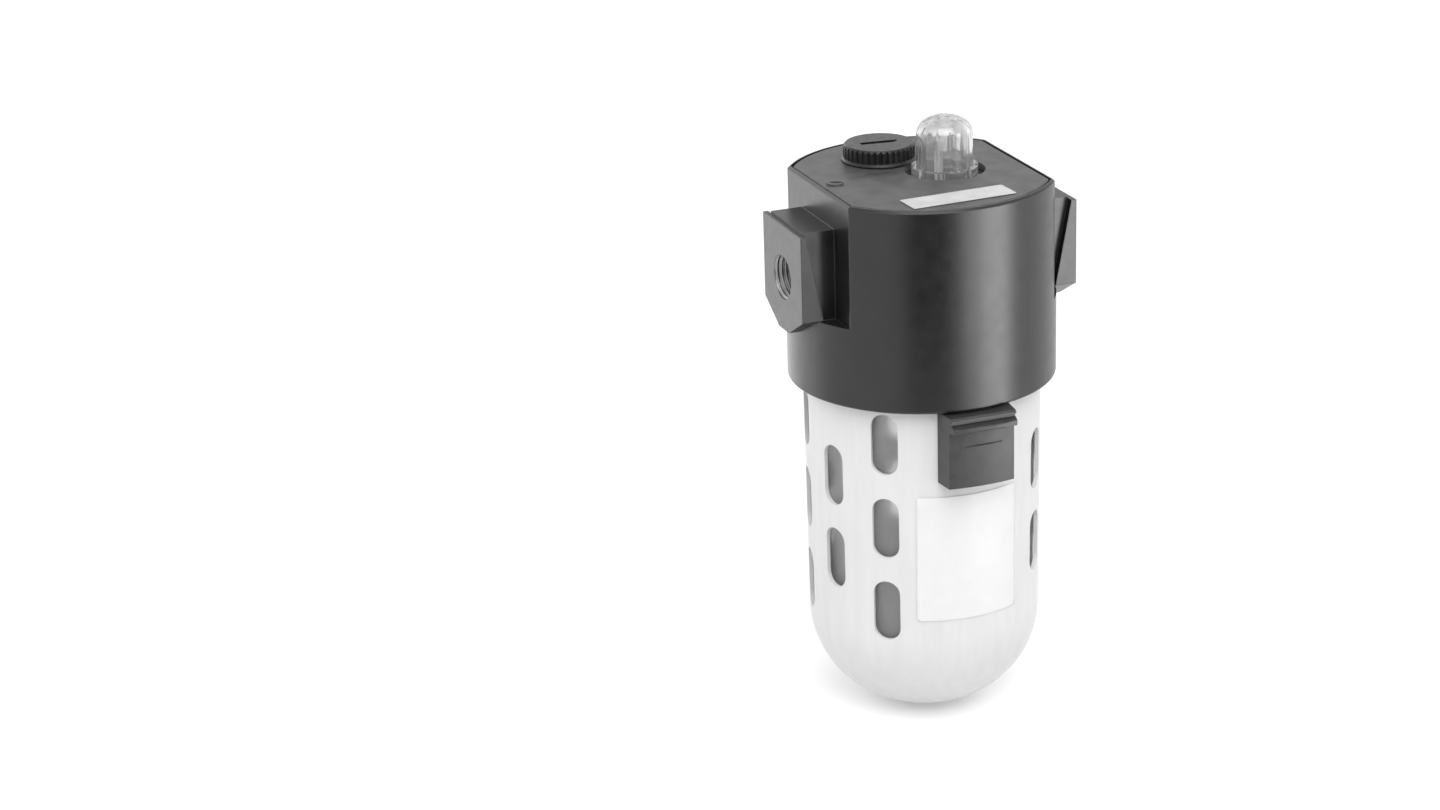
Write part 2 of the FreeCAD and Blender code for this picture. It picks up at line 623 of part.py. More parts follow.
def flow_block():
    """Insert with the flap's room, the nozzle's bore, the drip hole and the oil way."""
    foot_z = ROOF_Z - BLOCK_FLANGE_T
    solid = joined([cyl(BLOCK_R, ROOF_Z, BLOCK_TOP, DOME_X), cyl(BLOCK_FLANGE_R, foot_z, ROOF_Z, DOME_X)])
    room_x = DOME_X - BLOCK_R
    half = FLAP_ROOM / 2
    room = box(room_x - EPS, room_x + FLAP_ROOM_LEN, -half, half, -half, half)
    bore = cyl_x(NOZZLE_R, room_x + FLAP_ROOM_LEN - EPS, DOME_X + BLOCK_R + EPS)
    seal_r = BLOCK_R - BLOCK_SEAL_WIRE + FIT
    groove = ring(seal_r, BLOCK_R + EPS, BLOCK_SEAL_Z - BLOCK_SEAL_WIRE / 2 - FIT,
                  BLOCK_SEAL_Z + BLOCK_SEAL_WIRE / 2 + FIT, DOME_X)
    drip = cyl(DRIP_R, 0, BLOCK_TOP + EPS, DOME_X)
    oil = cyl(OIL_R, foot_z - EPS, BLOCK_TOP + EPS, DOME_X, OIL_Y)
    screws = [cyl(SCREW_R, foot_z - EPS, ROOF_Z, x, y) for x, y in screw_places()]
    return solid.cut(joined([room, bore, flap_pin(), drip, oil])).cut(groove).cut(Part.makeCompound(screws))


def cross_rod(r, length):
    """Rod across the air way on the flap's axis."""
    start = V(DOME_X - BLOCK_R + FLAP_PIN_BACK, -length / 2, FLAP_ROOM / 2 - FLAP_PIN_DROP)
    return Part.makeCylinder(r, length, start, V(0, 1, 0))


def flow_flap():
    """Leaf that the air swings open, so that the pressure drop stays steady at any flow."""
    half = FLAP_ROOM / 2
    wide = half - FLAP_SIDE_GAP
    x = DOME_X - BLOCK_R + FLAP_PIN_BACK
    leaf = box(x - FLAP_T / 2, x + FLAP_T / 2, -wide, wide, -half + SLIDE_GAP, half - FLAP_PIN_DROP)
    return joined([cross_rod(FLAP_HUB_R, 2 * wide), leaf]).cut(cross_rod(FLAP_PIN_R + FIT, FLAP_ROOM))


def flap_pin():
    """Pin that the flap hangs on."""
    return cross_rod(FLAP_PIN_R, FLAP_PIN_LEN)


def mist_nozzle():
    """Brass nozzle whose throat draws the drops into the air."""
    x0 = DOME_X - BLOCK_R + FLAP_ROOM_LEN
    x1 = DOME_X + BLOCK_R - NOZZLE_BACK
    mouth_r = NOZZLE_R - NOZZLE_LIP
    solid = cyl_x(NOZZLE_R, x0, x1)
    mid = (x0 + x1) / 2
    lead = Part.makeCone(mouth_r, THROAT_R, mid - x0, V(x0, 0, 0), V(1, 0, 0))
    tail = Part.makeCone(THROAT_R, mouth_r, x1 - mid, V(mid, 0, 0), V(1, 0, 0))
    drip = cyl(DRIP_R, 0, NOZZLE_R, DOME_X)
    return solid.cut(joined([lead, tail, drip]))


def flow_block_seal():
    """O-ring round the flow block, between air way and bowl."""
    return torus(BLOCK_R - BLOCK_SEAL_WIRE / 2 + FIT, BLOCK_SEAL_WIRE, BLOCK_SEAL_Z, DOME_X)


def flow_block_screws():
    """Two screws that hold the flow block up against the roof."""
    foot_z = ROOF_Z - BLOCK_FLANGE_T
    screws = []
    for x, y in screw_places():
        head = cyl(SCREW_HEAD_R, foot_z - SCREW_HEAD_T, foot_z, x, y)
        slot = box(x - SCREW_HEAD_R, x + SCREW_HEAD_R, y - SCREW_SLOT / 2, y + SCREW_SLOT / 2,
                   foot_z - SCREW_HEAD_T - EPS, foot_z - SCREW_HEAD_T + SCREW_SLOT)
        screws.append(joined([head.cut(slot), cyl(SCREW_R, foot_z, foot_z + SCREW_LEN - EPS, x, y)]))
    return Part.makeCompound(screws)


# Siphon

def siphon_fitting():
    """Brass fitting under the flow block. Its room keeps the check ball."""
    top_z = ROOF_Z - BLOCK_FLANGE_T
    foot_z = top_z - FITTING_LEN
    corner = FITTING_AF / 2 / math.cos(math.radians(30))
    ring_points = [(DOME_X + corner * math.cos(math.radians(60 * k)),
                    OIL_Y + corner * math.sin(math.radians(60 * k)), foot_z) for k in range(6)]
    hexagon = prism(ring_points, (0, 0, FITTING_LEN))
    spigot = cyl(FITTING_SPIGOT_R, foot_z - FITTING_SPIGOT_LEN, foot_z, DOME_X, OIL_Y)
    cuts = [cyl(CHECK_ROOM_R, CHECK_FLOOR_Z, top_z + EPS, DOME_X, OIL_Y),
            cyl(CHECK_SEAT_R, foot_z - FITTING_SPIGOT_LEN - EPS, CHECK_FLOOR_Z + EPS, DOME_X, OIL_Y)]
    return joined([hexagon, spigot]).cut(joined(cuts))


def check_ball():
    """Ball that stops the oil from running back."""
    return Part.makeSphere(CHECK_BALL_R, V(DOME_X, OIL_Y, CHECK_BALL_Z))


def siphon_tube():
    """Tube from the fitting down to the bottom of the bowl."""
    top_z = ROOF_Z - BLOCK_FLANGE_T - FITTING_LEN
    return ring(FITTING_SPIGOT_R, SIPHON_R, SIPHON_TIP_Z, top_z, DOME_X, OIL_Y)


def siphon_filter():
    """Sintered bronze cap on the foot of the siphon tube."""
    z0 = FILTER_FOOT_Z
    z1 = z0 + FILTER_LEN
    solid = lathe((0, z0), [
        (FILTER_R - FILTER_BEVEL, z0), (FILTER_R, z0 + FILTER_BEVEL), (FILTER_R, z1), (0, z1)], DOME_X, OIL_Y)
    cuts = [cyl(SIPHON_R, SIPHON_TIP_Z, z1 + EPS, DOME_X, OIL_Y),
            cyl(FILTER_BORE_R, z0 + FILTER_END_T, SIPHON_TIP_Z + EPS, DOME_X, OIL_Y)]
    return solid.cut(joined(cuts))


# Valve that lets air into the bowl

def bowl_valve_ball():
    """Ball that shuts the air off while the bowl is opened to refill it."""
    return Part.makeSphere(VALVE_BALL_R, V(VALVE_X, 0, VALVE_BALL_Z))


def bowl_valve_clip():
    """Pierced disc that holds the ball and its spring."""
    return ring(VALVE_CLIP_HOLE_R, VALVE_CLIP_R, ROOF_Z, ROOF_Z + VALVE_CLIP_T, VALVE_X)


# Bowl, guard and latch

def bowl_seal():
    """O-ring round the bowl's neck."""
    return torus(BOWL_NECK_R - BOWL_SEAL_WIRE / 2, BOWL_SEAL_WIRE, BOWL_SEAL_Z)


def bowl():
    """Clear bowl with a shoulder, a grooved neck and a round end."""
    inset = GUARD_WALL + BOWL_GAP
    neck_r = BOWL_NECK_R - BOWL_NECK_WALL
    low = GUARD_TOP_Z - BOWL_NECK_WALL
    solid = joined([
        cup(inset, GUARD_TOP_Z),
        cyl(GUARD_R, GUARD_TOP_Z, SHOULDER_TOP_Z),
        cyl(BOWL_NECK_R, SHOULDER_TOP_Z - EPS, BOWL_NECK_TOP_Z)])
    hollow = joined([
        cup(inset + BOWL_WALL, low - EPS),
        Part.makeCone(guard_r(inset + BOWL_WALL, low - EPS), neck_r, BOWL_NECK_WALL, V(0, 0, low - EPS)),
        cyl(neck_r, low, BOWL_NECK_TOP_Z + EPS)])
    half = BOWL_SEAL_WIRE / 2 + FIT
    groove = ring(BOWL_NECK_R - BOWL_SEAL_WIRE - FIT, BOWL_NECK_R + EPS,
                  BOWL_SEAL_Z - half, BOWL_SEAL_Z + half)
    return solid.cut(hollow).cut(groove)


def slot_cutter(angle, z):
    """Round-ended slot through the guard's wall, at an angle round from the front."""
    half_w = SLOT_W / 2
    half_l = SLOT_L / 2 - half_w
    y0 = -GUARD_R - EPS
    a = V(-half_w, y0, z - half_l)
    b = V(-half_w, y0, z + half_l)
    c = V(half_w, y0, z + half_l)
    d = V(half_w, y0, z - half_l)
    wire = Part.Wire([
        Part.makeLine(a, b), Part.Arc(b, V(0, y0, z + SLOT_L / 2), c).toShape(),
        Part.makeLine(c, d), Part.Arc(d, V(0, y0, z - SLOT_L / 2), a).toShape()])
    cutter = Part.Face(wire).extrude(V(0, GUARD_R / 2, 0))
    return turned(cutter, angle)


def guard_slots():
    """Staggered columns of slots all round, apart from the two columns at the front."""
    step = 360 / SLOT_COLUMNS
    cutters = []
    for k in range(1, SLOT_COLUMNS - 1):
        angle = SLOT_SET_DEG + (k + 0.5) * step
        full = k % 2 == 0
        rows = 3 if full else 2
        top = SLOT_TOP_Z if full else SLOT_TOP_Z - SLOT_PITCH / 2
        cutters += [slot_cutter(angle, top - row * SLOT_PITCH) for row in range(rows)]
    return Part.makeCompound(cutters)


def latch_rail():
    """T-shaped rail that the latch slides on, and the pad under it."""
    stem = box(-RAIL_STEM_W / 2, RAIL_STEM_W / 2, -RAIL_OUT + RAIL_HEAD_T, -GUARD_END_R + GUARD_WALL / 2,
               RAIL_FOOT_Z, RAIL_TOP_Z)
    head = box(-RAIL_HEAD_W / 2, RAIL_HEAD_W / 2, -RAIL_OUT, -RAIL_OUT + RAIL_HEAD_T, RAIL_FOOT_Z, RAIL_TOP_Z)
    return [stem, head]


def bowl_guard():
    """Metal guard: tapered shell with a round end, staggered slots, lugs and the latch's rail."""
    shell = cup(0, GUARD_TOP_Z).cut(cup(GUARD_WALL, GUARD_TOP_Z + EPS))
    lugs = lug_ring(GUARD_R - GUARD_WALL / 2, LUG_R, LUG_TOP_Z - LUG_T, LUG_TOP_Z, LUG_W, LUG_DEG)
    solid = joined([shell] + lugs + latch_rail())
    hole = cyl(GUARD_HOLE_R, GUARD_END_Z - EPS, GUARD_END_Z + 2 * GUARD_WALL + EPS)
    return solid.cut(guard_slots()).cut(hole)


def latch_block():
    """Outside of the latch: crowned face, two thumb ridges and the back that follows the guard."""
    side = LATCH_BACK_W / 2 + EPS
    ridge_foot_z = LATCH_TOP_Z - THUMB_RIDGES[-1][1]
    front = [(-side, -LATCH_FRONT - out, LATCH_TOP_Z - down) for out, down in THUMB_RIDGES]
    back = [(-side, -LATCH_BACK, ridge_foot_z), (-side, -LATCH_BACK, LATCH_TOP_Z)]
    ridges = prism(front + back, (2 * side, 0, 0)).common(face_crown(THUMB_REACH))
    plain = box(-side, side, -LATCH_FRONT, -LATCH_BACK, LATCH_FOOT_Z, ridge_foot_z).common(face_crown(0))
    solid = joined([plain, ridges]).common(latch_plan())
    solid.translate(V(LATCH_SHIFT, 0, 0))
    return solid.cut(cyl(GUARD_R + SLIDE_GAP, LATCH_FOOT_Z - EPS, LATCH_TOP_Z + EPS))


def latch_plan():
    """Column with the latch's plan, a little wider at the back than at the front."""
    slope = (LATCH_BACK_W - LATCH_W) / 2 / (LATCH_FRONT - GUARD_R)
    front_y = -LATCH_FRONT - THUMB_REACH - EPS
    front = LATCH_W / 2 - slope * (THUMB_REACH + EPS)
    back = LATCH_BACK_W / 2 + slope * (GUARD_R - LATCH_BACK)
    z0 = LATCH_FOOT_Z - EPS
    return prism([
        (-front, front_y, z0), (front, front_y, z0), (back, -LATCH_BACK, z0), (-back, -LATCH_BACK, z0)],
        (0, 0, LATCH_TOP_Z + EPS - z0))


def face_crown(out):
    """Round column whose front is the latch's crowned face, moved out."""
    return cyl(LATCH_FACE_R + out, LATCH_FOOT_Z - EPS, LATCH_TOP_Z + EPS, 0, LATCH_FACE_R - LATCH_FRONT)


def bowl_latch():
    """Latch that slides on the guard's rail and locks the bowl with its tongue."""
    tongue = ring(TONGUE_R0, TONGUE_R1, LATCH_TOP_Z - EPS, TONGUE_TOP_Z).common(
        box(-TONGUE_W / 2, TONGUE_W / 2, -BODY_R, 0, LATCH_TOP_Z - EPS, TONGUE_TOP_Z))
    solid = joined([latch_block(), tongue])
    ceiling = LATCH_TOP_Z - LATCH_WALL
    floor = RAIL_FOOT_Z - SLIDE_GAP
    head_w = RAIL_HEAD_W / 2 + SLIDE_GAP
    stem_w = RAIL_STEM_W / 2 + SLIDE_GAP
    head_room = box(-head_w, head_w, -RAIL_OUT - SLIDE_GAP, -RAIL_OUT + RAIL_HEAD_T + SLIDE_GAP,
                    floor, ceiling)
    stem_room = box(-stem_w, stem_w, -RAIL_OUT, -LATCH_BACK, floor, ceiling)
    indent = box(LATCH_SHIFT - INDENT_W / 2, LATCH_SHIFT + INDENT_W / 2, -LATCH_FACE_R,
                 -LATCH_FRONT + INDENT_DEPTH, INDENT_Z - INDENT_H / 2, INDENT_Z + INDENT_H / 2)
    return solid.cut(joined([head_room, stem_room])).cut(indent)


def latch_spring():
    """Spring between the rail and the latch's top wall."""
    return spring(SPRING_R, SPRING_WIRE_R, SPRING_TURNS, RAIL_TOP_Z, LATCH_TOP_Z - LATCH_WALL, 0,
                  -RAIL_OUT + SPRING_R + SPRING_WIRE_R)


def bowl_valve_spring():
    """Spring that lifts the valve ball onto its seat. Its last turn lies against the ball."""
    reach = VALVE_BALL_R + VALVE_SPRING_WIRE_R + FIT
    last_z = VALVE_BALL_Z - math.sqrt(reach ** 2 - VALVE_SPRING_R ** 2)
    return spring(VALVE_SPRING_R, VALVE_SPRING_WIRE_R, VALVE_SPRING_TURNS, ROOF_Z + VALVE_CLIP_T,
                  last_z + VALVE_SPRING_WIRE_R, VALVE_X)


PIECES = [
    body, top_cover, sight_dome, sight_dome_seal, drip_seat, drip_tube, fill_plug, fill_plug_seal,
    flow_block, flow_block_seal, flow_block_screws, flow_flap, flap_pin, mist_nozzle, siphon_fitting,
    check_ball, siphon_tube, siphon_filter, bowl_valve_ball, bowl_valve_spring, bowl_valve_clip,
    bowl, bowl_seal, bowl_guard, bowl_latch, latch_spring]


def main():
    os.makedirs("parts", exist_ok=True)
    for piece in PIECES:
        shape = piece()
        shape.translate(V(FLANGE_X, 0, 0))
        shape.exportStep("parts/" + piece.__name__ + ".step")
        size = shape.BoundBox
        print(piece.__name__, "solids", len(shape.Solids), "valid", shape.isValid(),
              "volume %.0f" % shape.Volume, "z %.1f to %.1f" % (size.ZMin, size.ZMax))


main()
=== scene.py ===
# %% [markdown]
# # Modular air lubricator
# A unit for oiling compressed air. A dark metal body with two flat sides carries a clear sight dome and a
# ribbed plug on top. A pale metal guard with slots hangs below and holds a clear bowl of oil.
# The frame brings every solid in metres. This scene gives them their finishes, adds the thin pieces that
# solids leave out, such as screw threads and labels, and sets up the studio.

# %% Frame
import json
import math

import bmesh
import bpy
from mathutils import Matrix, Vector


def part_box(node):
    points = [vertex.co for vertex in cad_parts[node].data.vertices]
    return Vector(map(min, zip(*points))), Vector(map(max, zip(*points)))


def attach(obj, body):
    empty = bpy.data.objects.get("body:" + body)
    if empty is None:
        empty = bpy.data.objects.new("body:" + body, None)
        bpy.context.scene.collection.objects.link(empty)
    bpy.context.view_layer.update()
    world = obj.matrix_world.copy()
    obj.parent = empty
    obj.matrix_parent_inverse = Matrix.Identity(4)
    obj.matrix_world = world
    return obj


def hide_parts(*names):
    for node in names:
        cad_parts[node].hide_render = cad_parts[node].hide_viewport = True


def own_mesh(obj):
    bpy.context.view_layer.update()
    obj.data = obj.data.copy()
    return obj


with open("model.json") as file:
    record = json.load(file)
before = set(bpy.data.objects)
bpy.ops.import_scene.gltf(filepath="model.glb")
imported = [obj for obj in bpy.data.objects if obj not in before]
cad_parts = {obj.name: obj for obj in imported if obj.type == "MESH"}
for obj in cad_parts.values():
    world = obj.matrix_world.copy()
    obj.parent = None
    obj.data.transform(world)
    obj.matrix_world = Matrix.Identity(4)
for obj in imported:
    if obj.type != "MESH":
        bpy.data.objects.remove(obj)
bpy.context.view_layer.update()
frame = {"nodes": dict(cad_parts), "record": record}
MM = 0.001

# %% [markdown]
# The solids already say where everything is, so the places that the added pieces start from are measured on
# them: the bowl's axis, the height of the cover, the two port faces and the lowest point of the guard.

# %% Places measured from the solids
body_low, body_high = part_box("body")
guard_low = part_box("bowl_guard")[0]
AXIS_X = (body_low[0] + body_high[0]) / 2
COVER_Z = body_high[2]   # the cover is flush with the body's rim
INLET_X, OUTLET_X = body_low[0], body_high[0]
FLOOR_Z = guard_low[2]
print("bowl axis at x %.1f mm, cover at z %.1f mm" % (AXIS_X / MM, COVER_Z / MM))

# %% [markdown]
# Real finishes are never one flat colour. Each material here is a Principled shader with a few small node
# helpers: grain makes noise that is fixed to the piece, tint turns it into a range of colour, and span into
# a range of roughness. The noise is set by its size in millimetres, because that is how a finish is judged
# on a real part.

# %% Helpers for colour and gloss
NOISE_LOW, NOISE_HIGH = 0.3, 0.7     # the part of the noise's range that a finish is spread over


def material(name, **values):
    """Principled material with plain values on its own sockets."""
    mat = bpy.data.materials.new(name)
    mat.use_nodes = True
    for socket, value in values.items():
        shader_of(mat).inputs[socket.replace("_", " ")].default_value = value
    return mat


def shader_of(mat):
    """The Principled shader of a material."""
    return mat.node_tree.nodes["Principled BSDF"]


def grain(mat, size_mm, detail=3.0, stretch=(1, 1, 1)):
    """Noise whose features are about size_mm across, longer along the axes with a low stretch."""
    nodes, links = mat.node_tree.nodes, mat.node_tree.links
    place = nodes.new("ShaderNodeTexCoord")
    scale = nodes.new("ShaderNodeMapping")
    scale.inputs["Scale"].default_value = stretch
    noise = nodes.new("ShaderNodeTexNoise")
    noise.inputs["Scale"].default_value = 1 / (size_mm * MM)
    noise.inputs["Detail"].default_value = detail
    links.new(place.outputs["Object"], scale.inputs["Vector"])
    links.new(scale.outputs["Vector"], noise.inputs["Vector"])
    return noise.outputs["Fac"]


def grey(value):
    """Colour with the same red, green and blue."""
    return (value, value, value)


def tint(mat, fac, dark, light):
    """Base colour that runs from dark to light with the noise."""
    ramp = mat.node_tree.nodes.new("ShaderNodeValToRGB")
    ramp.color_ramp.elements[0].position = NOISE_LOW
    ramp.color_ramp.elements[1].position = NOISE_HIGH
    ramp.color_ramp.elements[0].color = (*dark, 1)
    ramp.color_ramp.elements[1].color = (*light, 1)
    mat.node_tree.links.new(fac, ramp.inputs["Fac"])
    mat.node_tree.links.new(ramp.outputs["Color"], shader_of(mat).inputs["Base Color"])


def span(mat, fac, low, high):
    """Roughness that runs from low to high with the noise."""
    node = mat.node_tree.nodes.new("ShaderNodeMapRange")
    node.inputs["From Min"].default_value = NOISE_LOW
    node.inputs["From Max"].default_value = NOISE_HIGH
    node.inputs["To Min"].default_value = low
    node.inputs["To Max"].default_value = high
    mat.node_tree.links.new(fac, node.inputs["Value"])
    mat.node_tree.links.new(node.outputs["Result"], shader_of(mat).inputs["Roughness"])


def made(*materials):
    """Prints the finishes that a cell made."""
    for mat in materials:
        print("finish", mat.name, "with", len(mat.node_tree.nodes), "nodes")


# %% [markdown]
# Two more helpers work on the way that a surface faces. relief turns noise into fine bumps, and can make
# sharp edges look rounded. The other lays a lighter line along them, a painted highlight for the glint that
# light makes on a rounded edge. It finds an edge where the rounded direction turns away from the plain one.
# That spares the mesh a radius of some tenths of a millimetre on every edge.

# %% Helpers for bumps and edges
ROUND_SAMPLES, HIGHLIGHT_SAMPLES = 4, 6       # rays that look for an edge near a point
HIGHLIGHT_START, HIGHLIGHT_FULL = 0.97, 0.8        # how far the two directions agree, with 1 on a plain face


def relief(mat, fac, height_mm, strength, edge_mm=0.0):
    """Fine bumps of the given height, over edges that look rounded by edge_mm."""
    nodes, links = mat.node_tree.nodes, mat.node_tree.links
    bump = nodes.new("ShaderNodeBump")
    bump.inputs["Distance"].default_value = height_mm * MM
    bump.inputs["Strength"].default_value = strength
    links.new(fac, bump.inputs["Height"])
    if edge_mm:
        edge = nodes.new("ShaderNodeBevel")
        edge.samples = ROUND_SAMPLES
        edge.inputs["Radius"].default_value = edge_mm * MM
        links.new(edge.outputs["Normal"], bump.inputs["Normal"])
    links.new(bump.outputs["Normal"], shader_of(mat).inputs["Normal"])


def painted_edge_highlight(mat, edge_mm, colour):
    """Painted highlight: a line of another colour along sharp edges, for the glint of light there."""
    nodes, links = mat.node_tree.nodes, mat.node_tree.links
    edge = nodes.new("ShaderNodeBevel")
    edge.samples = HIGHLIGHT_SAMPLES
    edge.inputs["Radius"].default_value = edge_mm * MM
    plain = nodes.new("ShaderNodeNewGeometry")
    along = nodes.new("ShaderNodeVectorMath")
    along.operation = "DOT_PRODUCT"
    links.new(edge.outputs["Normal"], along.inputs[0])
    links.new(plain.outputs["Normal"], along.inputs[1])
    share = nodes.new("ShaderNodeMapRange")
    share.inputs["From Min"].default_value = HIGHLIGHT_START
    share.inputs["From Max"].default_value = HIGHLIGHT_FULL
    links.new(along.outputs["Value"], share.inputs["Value"])
    mix = nodes.new("ShaderNodeMixRGB")
    base = shader_of(mat).inputs["Base Color"]
    links.new(share.outputs["Result"], mix.inputs["Fac"])
    links.new(base.links[0].from_socket, mix.inputs["Color1"])
    mix.inputs["Color2"].default_value = (*colour, 1)
    links.new(mix.outputs["Color"], base)


# %% [markdown]
# The body is a die casting under dark baked paint. Such paint has a soft gloss and a faint orange peel. Its
# corners look slightly rounded, with a painted highlight: a lighter line along them for the glint of light
# on a rounded edge. The cover is moulded, with a little mottling, and reads lighter than the paint.

# %% Body paint and cover
paint = material("body_paint", Roughness=0.32, Specular_IOR_Level=0.5)
tint(paint, grain(paint, 9.0, detail=4.0), dark=(0.007, 0.0071, 0.0073), light=(0.011, 0.0111, 0.0114))
span(paint, grain(paint, 4.0), low=0.29, high=0.35)
relief(paint, grain(paint, 0.9, detail=2.0), height_mm=0.02, strength=0.4, edge_mm=0.4)
# Painted highlight: a lighter line along the sharp edges, for the glint of light on them.
painted_edge_highlight(paint, edge_mm=0.22, colour=grey(0.13))

cover = material("cover_plastic", Roughness=0.42)
tint(cover, grain(cover, 5.0, detail=5.0), dark=(0.04, 0.04, 0.0405), light=(0.082, 0.082, 0.083))
span(cover, grain(cover, 2.5), low=0.4, high=0.5)
relief(cover, grain(cover, 0.5, detail=2.0), height_mm=0.02, strength=0.5, edge_mm=0.2)
made(paint, cover)

# %% [markdown]
# The guard is drawn from sheet and finished in a pale satin coat. The drawing leaves faint lines down the
# wall, so its noise is stretched along Z. The latch and the plug are moulded, with the half gloss of a
# polished mould. The latch's edges are left sharp, because rounding them in the shader put dark specks on
# its ridges.

# %% Guard, latch and plug
satin = material("guard_satin", Roughness=0.45)
tint(satin, grain(satin, 3.0, detail=4.0, stretch=(1, 1, 0.12)), dark=grey(0.73), light=grey(0.77))
span(satin, grain(satin, 6.0), low=0.4, high=0.5)
relief(satin, grain(satin, 0.6, detail=2.0), height_mm=0.012, strength=0.5, edge_mm=0.25)

latch_grey = material("latch_plastic", Roughness=0.34, Specular_IOR_Level=0.36)
tint(latch_grey, grain(latch_grey, 4.0), dark=(0.036, 0.036, 0.037), light=(0.05, 0.05, 0.051))
span(latch_grey, grain(latch_grey, 2.0), low=0.3, high=0.38)
relief(latch_grey, grain(latch_grey, 1.0, detail=1.0), height_mm=0.008, strength=0.3)

black = material("black_plastic", Roughness=0.34, Specular_IOR_Level=0.42)
tint(black, grain(black, 3.0), dark=(0.006, 0.006, 0.0062), light=(0.01, 0.01, 0.0103))
span(black, grain(black, 1.5), low=0.28, high=0.4)
relief(black, grain(black, 0.5, detail=2.0), height_mm=0.01, strength=0.5, edge_mm=0.15)
made(satin, latch_grey, black)

# %% [markdown]
# Bowl and dome are clear polycarbonate, so they are transmission with the index of that plastic. The bowl is
# cloudy from use, and the slots behind it show as soft light. Lines from moulding run down the dome's wall
# as bumps, and grey streaks painted into its tint stand in for the dark streaks that refraction shows in it.
# The drip tube inside it is another clear plastic that has gone milky with oil. Lamps shine through bowl
# and dome, so that what is inside is lit as it is through thin clear walls.

# %% Clear plastic
def lamps_pass(mat):
    """Lets lamp rays through a clear material."""
    nodes, links = mat.node_tree.nodes, mat.node_tree.links
    path = nodes.new("ShaderNodeLightPath")
    through = nodes.new("ShaderNodeBsdfTransparent")
    mix = nodes.new("ShaderNodeMixShader")
    links.new(path.outputs["Is Shadow Ray"], mix.inputs["Fac"])
    links.new(shader_of(mat).outputs["BSDF"], mix.inputs[1])
    links.new(through.outputs["BSDF"], mix.inputs[2])
    links.new(mix.outputs["Shader"], nodes["Material Output"].inputs["Surface"])


POLYCARBONATE_INDEX = 1.58
TUBE_INDEX = 1.5

clear = material("clear_plastic", Roughness=0.15, IOR=POLYCARBONATE_INDEX, Transmission_Weight=0.95)
tint(clear, grain(clear, 12.0), dark=grey(0.78), light=grey(0.88))
relief(clear, grain(clear, 7.0, detail=1.0), height_mm=0.03, strength=0.35)
lamps_pass(clear)

dome_clear = material("dome_plastic", Roughness=0.08, IOR=POLYCARBONATE_INDEX, Transmission_Weight=0.92)
# Painted shade: grey streaks in the dome's tint, standing in for the dark streaks of refraction.
tint(dome_clear, grain(dome_clear, 2.2, stretch=(1, 1, 0.15)), dark=grey(0.55), light=grey(0.88))
relief(dome_clear, grain(dome_clear, 2.2, detail=1.0, stretch=(1, 1, 0.1)), height_mm=0.35, strength=1.0)
lamps_pass(dome_clear)

tube_clear = material("tube_plastic", Roughness=0.2, IOR=TUBE_INDEX, Transmission_Weight=0.55)
tint(tube_clear, grain(tube_clear, 1.5, detail=2.0, stretch=(1, 1, 0.2)), dark=grey(0.74), light=grey(0.9))
relief(tube_clear, grain(tube_clear, 1.2), height_mm=0.02, strength=0.5)
made(clear, dome_clear, tube_clear)

# %% [markdown]
# The pieces inside are small, but they show through the dome, the slots and the port: natural plastic for
# the insert and the siphon, turned brass, bright steel, sintered bronze that is really a mass of grains,
# and black rubber for the rings.

# %% Inner pieces
insert = material("insert_plastic", Roughness=0.45)
tint(insert, grain(insert, 3.0), dark=(0.55, 0.54, 0.5), light=(0.65, 0.64, 0.6))
relief(insert, grain(insert, 0.6), height_mm=0.01, strength=0.5)

brass = material("turned_brass", Roughness=0.28, Metallic=1.0)
tint(brass, grain(brass, 1.5), dark=(0.66, 0.49, 0.24), light=(0.76, 0.58, 0.3))
span(brass, grain(brass, 0.4, detail=2.0, stretch=(1, 1, 4)), low=0.2, high=0.36)
relief(brass, grain(brass, 0.3, detail=1.0, stretch=(0.2, 0.2, 4)), height_mm=0.006, strength=0.4)

steel = material("bright_steel", Roughness=0.25, Metallic=1.0)
tint(steel, grain(steel, 1.0), dark=(0.55, 0.55, 0.56), light=(0.66, 0.66, 0.67))
span(steel, grain(steel, 0.8), low=0.18, high=0.32)
relief(steel, grain(steel, 0.3), height_mm=0.004, strength=0.4)

bronze = material("sintered_bronze", Roughness=0.55, Metallic=1.0)
tint(bronze, grain(bronze, 0.5), dark=(0.3, 0.19, 0.09), light=(0.55, 0.38, 0.2))
span(bronze, grain(bronze, 0.7), low=0.45, high=0.65)
relief(bronze, grain(bronze, 0.45, detail=1.0), height_mm=0.12, strength=1.0)

rubber = material("black_rubber", Roughness=0.6)
tint(rubber, grain(rubber, 2.0), dark=grey(0.012), light=grey(0.022))
relief(rubber, grain(rubber, 0.5), height_mm=0.02, strength=0.5)
made(insert, brass, steel, bronze, rubber)

# %% [markdown]
# The record names one finish slot for each node. One loop gives every node the material of its slot, so no
# node can be forgotten. Dome and drip tube share the bowl's slot, but each has a look of its own.

# %% Finishes on the nodes
FINISH = {
    "body_metal": paint, "cover_plastic": cover, "clear_plastic": clear, "seal_rubber": rubber,
    "insert_plastic": insert, "black_plastic": black, "latch_plastic": latch_grey, "guard_metal": satin,
    "steel": steel, "brass": brass, "bronze": bronze}
SPECIAL = {"sight_dome": dome_clear, "drip_tube": tube_clear}
for entry in frame["record"]["subparts"]:
    node = frame["nodes"][entry["node"]]
    node.data.materials.clear()
    node.data.materials.append(SPECIAL.get(entry["node"], FINISH[entry["material_slot"]]))

# %% [markdown]
# The latch's spring and the bowl valve's spring give way when their joint moves. A copy of each coil takes
# the solid's place and rides with the body named for it. Its lower end rests on a fixed ledge.

